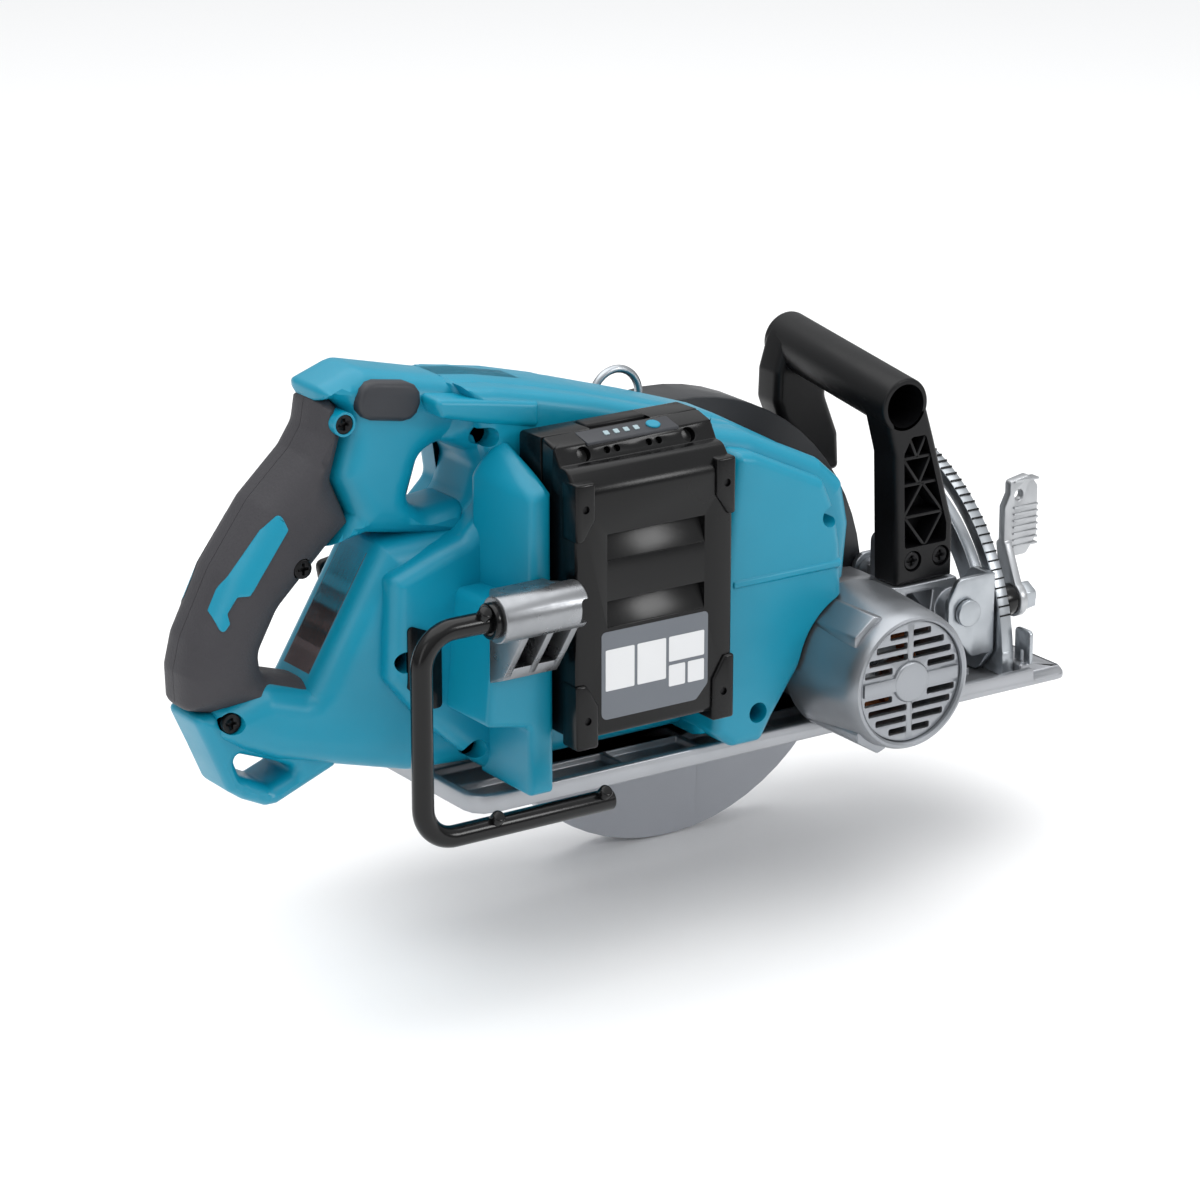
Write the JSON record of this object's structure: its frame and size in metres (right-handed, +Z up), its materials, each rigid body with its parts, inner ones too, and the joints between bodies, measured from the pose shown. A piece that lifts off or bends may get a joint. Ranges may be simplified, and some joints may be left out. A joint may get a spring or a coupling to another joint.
{
  "type": "circular saw",
  "caption": "Rear-handle battery circular saw with guards, tilting base, front handle and folding hook.",
  "frame": {"origin": "on the sole of the base, straight below the spindle axis, in the parting plane of the housing", "axes": "+X is the cutting direction, +Y points to the blade side, +Z is up"},
  "size_m": [0.444, 0.19, 0.2675],
  "materials": {
    "housing_plastic": "satin",
    "soft_grip": "matte",
    "pad": "matte",
    "black_plastic": "satin",
    "gloss_black": "gloss",
    "cast_aluminium": "satin",
    "guard_paint": "satin",
    "zinc_steel": "satin",
    "steel": "satin",
    "screw_black": "satin",
    "copper": "satin",
    "cell_wrap": "satin",
    "heat_sink": "satin"
  },
  "bodies": {
    "housing": {"housing_right": "housing_plastic", "housing_left": "housing_plastic", "grip_overmould_right": "soft_grip", "grip_overmould_left": "soft_grip", "throat_pad": "pad", "housing_screw_beam": "screw_black", "housing_screw_grip": "screw_black", "housing_screw_rear": "screw_black", "housing_screw_body": "screw_black", "rating_plate": "gloss_black", "trigger_switch": "black_plastic", "controller": "heat_sink", "battery_terminal": "black_plastic", "motor_housing": "cast_aluminium", "motor_louvre": "cast_aluminium", "stator": "copper", "motor_bearing": "steel", "gear_housing": "cast_aluminium", "bearing_box": "cast_aluminium", "spindle_bearing": "steel", "upper_guard": "guard_paint", "guard_spring": "steel", "front_handle": "black_plastic", "handle_screw_1": "screw_black", "handle_screw_2": "screw_black", "hook_bracket": "zinc_steel", "depth_bolt": "steel"},
    "trigger_body": {"trigger": "black_plastic"},
    "lock_off": {"lock_off_button": "black_plastic"},
    "battery": {"battery_case": "gloss_black", "battery_cover": "gloss_black", "battery_gauge": "black_plastic", "battery_cells": "cell_wrap"},
    "latch": {"battery_latch": "black_plastic"},
    "rotor": {"rotor_shaft": "steel", "fan": "black_plastic"},
    "spindle_group": {"spindle": "steel", "drive_gear": "steel", "blade": "steel", "inner_flange": "steel", "outer_flange": "steel", "blade_bolt": "steel"},
    "spindle_lock": {"spindle_lock_button": "black_plastic"},
    "lower_guard_body": {"lower_guard": "cast_aluminium", "guard_lever": "black_plastic"},
    "depth_frame": {"front_bracket": "zinc_steel", "depth_guide": "zinc_steel", "depth_pivot_pin": "screw_black", "bevel_pin_front": "steel", "bevel_pin_rear": "steel", "bevel_bolt": "steel", "bevel_spacer": "zinc_steel", "bevel_nut": "steel"},
    "base": {"base_plate": "cast_aluminium", "bevel_guide": "zinc_steel", "sight_plate": "zinc_steel"},
    "bevel_clamp": {"bevel_lever": "black_plastic"},
    "depth_clamp": {"depth_lever": "black_plastic"},
    "hook": {"hook_rod": "zinc_steel"},
    "ring": {"lanyard_ring": "zinc_steel"}
  },
  "joints": [
    {"name": "blade_spin", "type": "hinge", "parent": "housing", "child": "spindle_group", "pos_m": [0, 0.061, 0.029], "axis": [0, 1, 0], "continuous": true},
    {"name": "rotor_spin", "type": "hinge", "parent": "housing", "child": "rotor", "pos_m": [0.0265, 0, 0.0372], "axis": [0, 1, 0], "continuous": true},
    {"name": "guard_swing", "type": "hinge", "parent": "housing", "child": "lower_guard_body", "pos_m": [0, 0.061, 0.029], "axis": [0, 1, 0], "range_deg": [0, 115], "stiffness_Nm_per_rad": 0.12, "springref_deg": -68.75},
    {"name": "depth_tilt", "type": "hinge", "parent": "housing", "child": "depth_frame", "pos_m": [0.108, 0, 0.036], "axis": [0, 1, 0], "range_deg": [-22, 0]},
    {"name": "bevel_tilt", "type": "hinge", "parent": "depth_frame", "child": "base", "pos_m": [0, 0.061, 0.008], "axis": [1, 0, 0], "range_deg": [0, 56]},
    {"name": "bevel_clamp_turn", "type": "hinge", "parent": "depth_frame", "child": "bevel_clamp", "pos_m": [0.143, -0.01889, 0.03396], "axis": [1, 0, 0], "range_deg": [0, 50]},
    {"name": "depth_clamp_turn", "type": "hinge", "parent": "housing", "child": "depth_clamp", "pos_m": [-0.11755, 0.038, 0.05019], "axis": [0, 1, 0], "range_deg": [-40, 0]},
    {"name": "trigger_pull", "type": "hinge", "parent": "housing", "child": "trigger_body", "pos_m": [-0.172, 0, 0.164], "axis": [0, 1, 0], "range_deg": [0, 5], "stiffness_Nm_per_rad": 0.6, "springref_deg": -5.73},
    {"name": "lock_off_push", "type": "slide", "parent": "housing", "child": "lock_off", "axis": [0, 1, 0], "range_m": [-0.003, 0.003], "stiffness_N_per_m": 800},
    {"name": "battery_slide", "type": "slide", "parent": "housing", "child": "battery", "axis": [0, 0, 1], "range_m": [0, 0.06]},
    {"name": "battery_latch_press", "type": "slide", "parent": "battery", "child": "latch", "axis": [0, 0, -1], "range_m": [0, 0.004], "stiffness_N_per_m": 900, "springref_m": -0.001},
    {"name": "spindle_lock_press", "type": "slide", "parent": "housing", "child": "spindle_lock", "axis": [0, 0, -1], "range_m": [0, 0.004], "stiffness_N_per_m": 900, "springref_m": -0.001},
    {"name": "hook_swing", "type": "hinge", "parent": "housing", "child": "hook", "pos_m": [-0.162, -0.085, 0.102], "axis": [1, 0, 0], "range_deg": [-90, 0]},
    {"name": "ring_swing", "type": "hinge", "parent": "housing", "child": "ring", "pos_m": [-0.041, 0.036, 0.134], "axis": [1, 0, 0], "range_deg": [-90, 0]}
  ],
  "couplings": [
    {"joint": "rotor_spin", "follows": "blade_spin", "ratio": -3.8}
  ]
}
